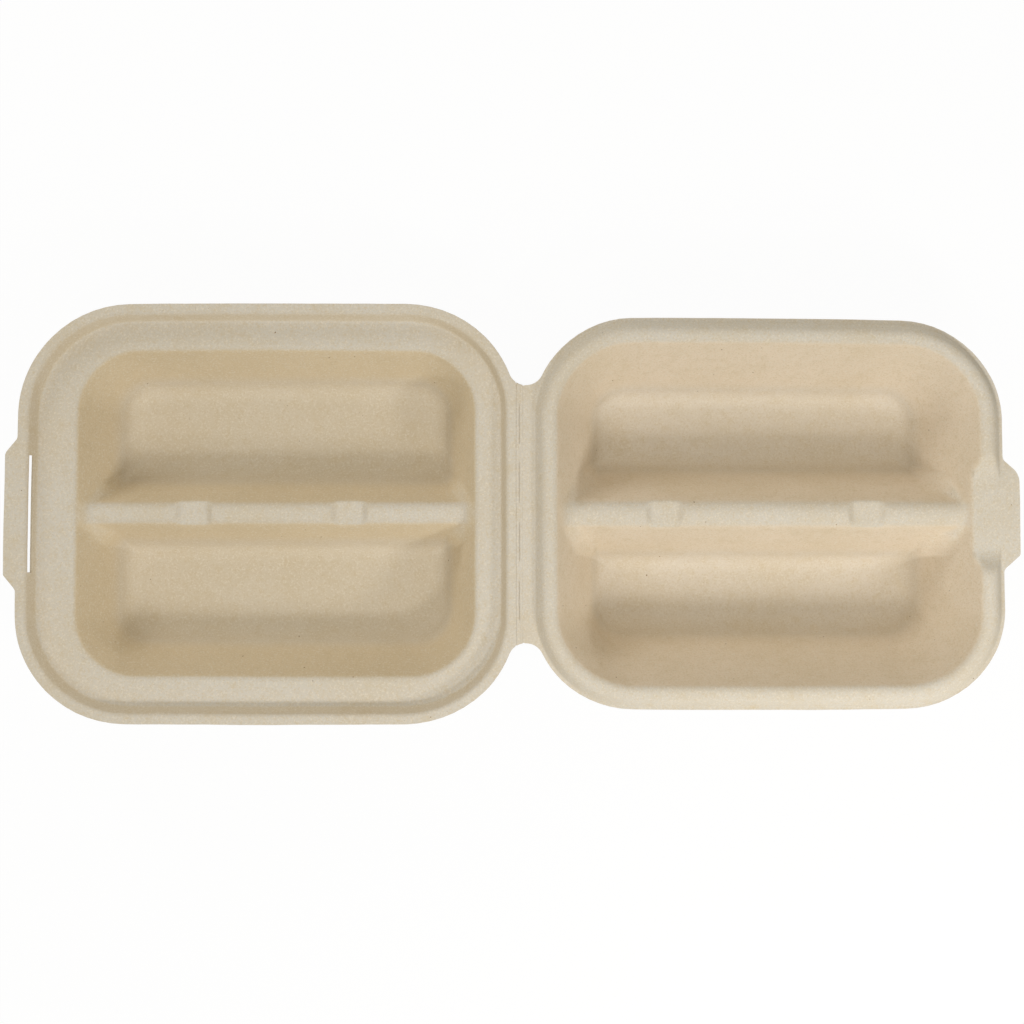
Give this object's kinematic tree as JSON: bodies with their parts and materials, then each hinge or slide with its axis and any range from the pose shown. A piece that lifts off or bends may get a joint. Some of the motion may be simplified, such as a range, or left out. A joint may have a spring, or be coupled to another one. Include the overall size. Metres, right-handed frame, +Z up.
{
  "type": "moulded fibre taco box",
  "caption": "Hinged take-out box of moulded plant fibre, lying open: base and lid trays with ridged troughs, a beaded rim, a lock tongue and a slotted tab.",
  "frame": {"origin": "on the table, under the middle of the open box", "axes": "+X from the lid to the base, +Y along the hinge, +Z up"},
  "size_m": [0.3844, 0.1596, 0.043],
  "materials": {
    "fibre": "matte unbleached moulded plant fibre with a fine mottled grain"
  },
  "bodies": {
    "base": {"base": "fibre"},
    "lid": {"lid": "fibre"}
  },
  "joints": [
    {"name": "lid_hinge", "type": "hinge", "parent": "base", "child": "lid", "pos_m": [0.0028, 0, 0.03815], "axis": [0, 1, 0], "range_deg": [0, 180]}
  ]
}
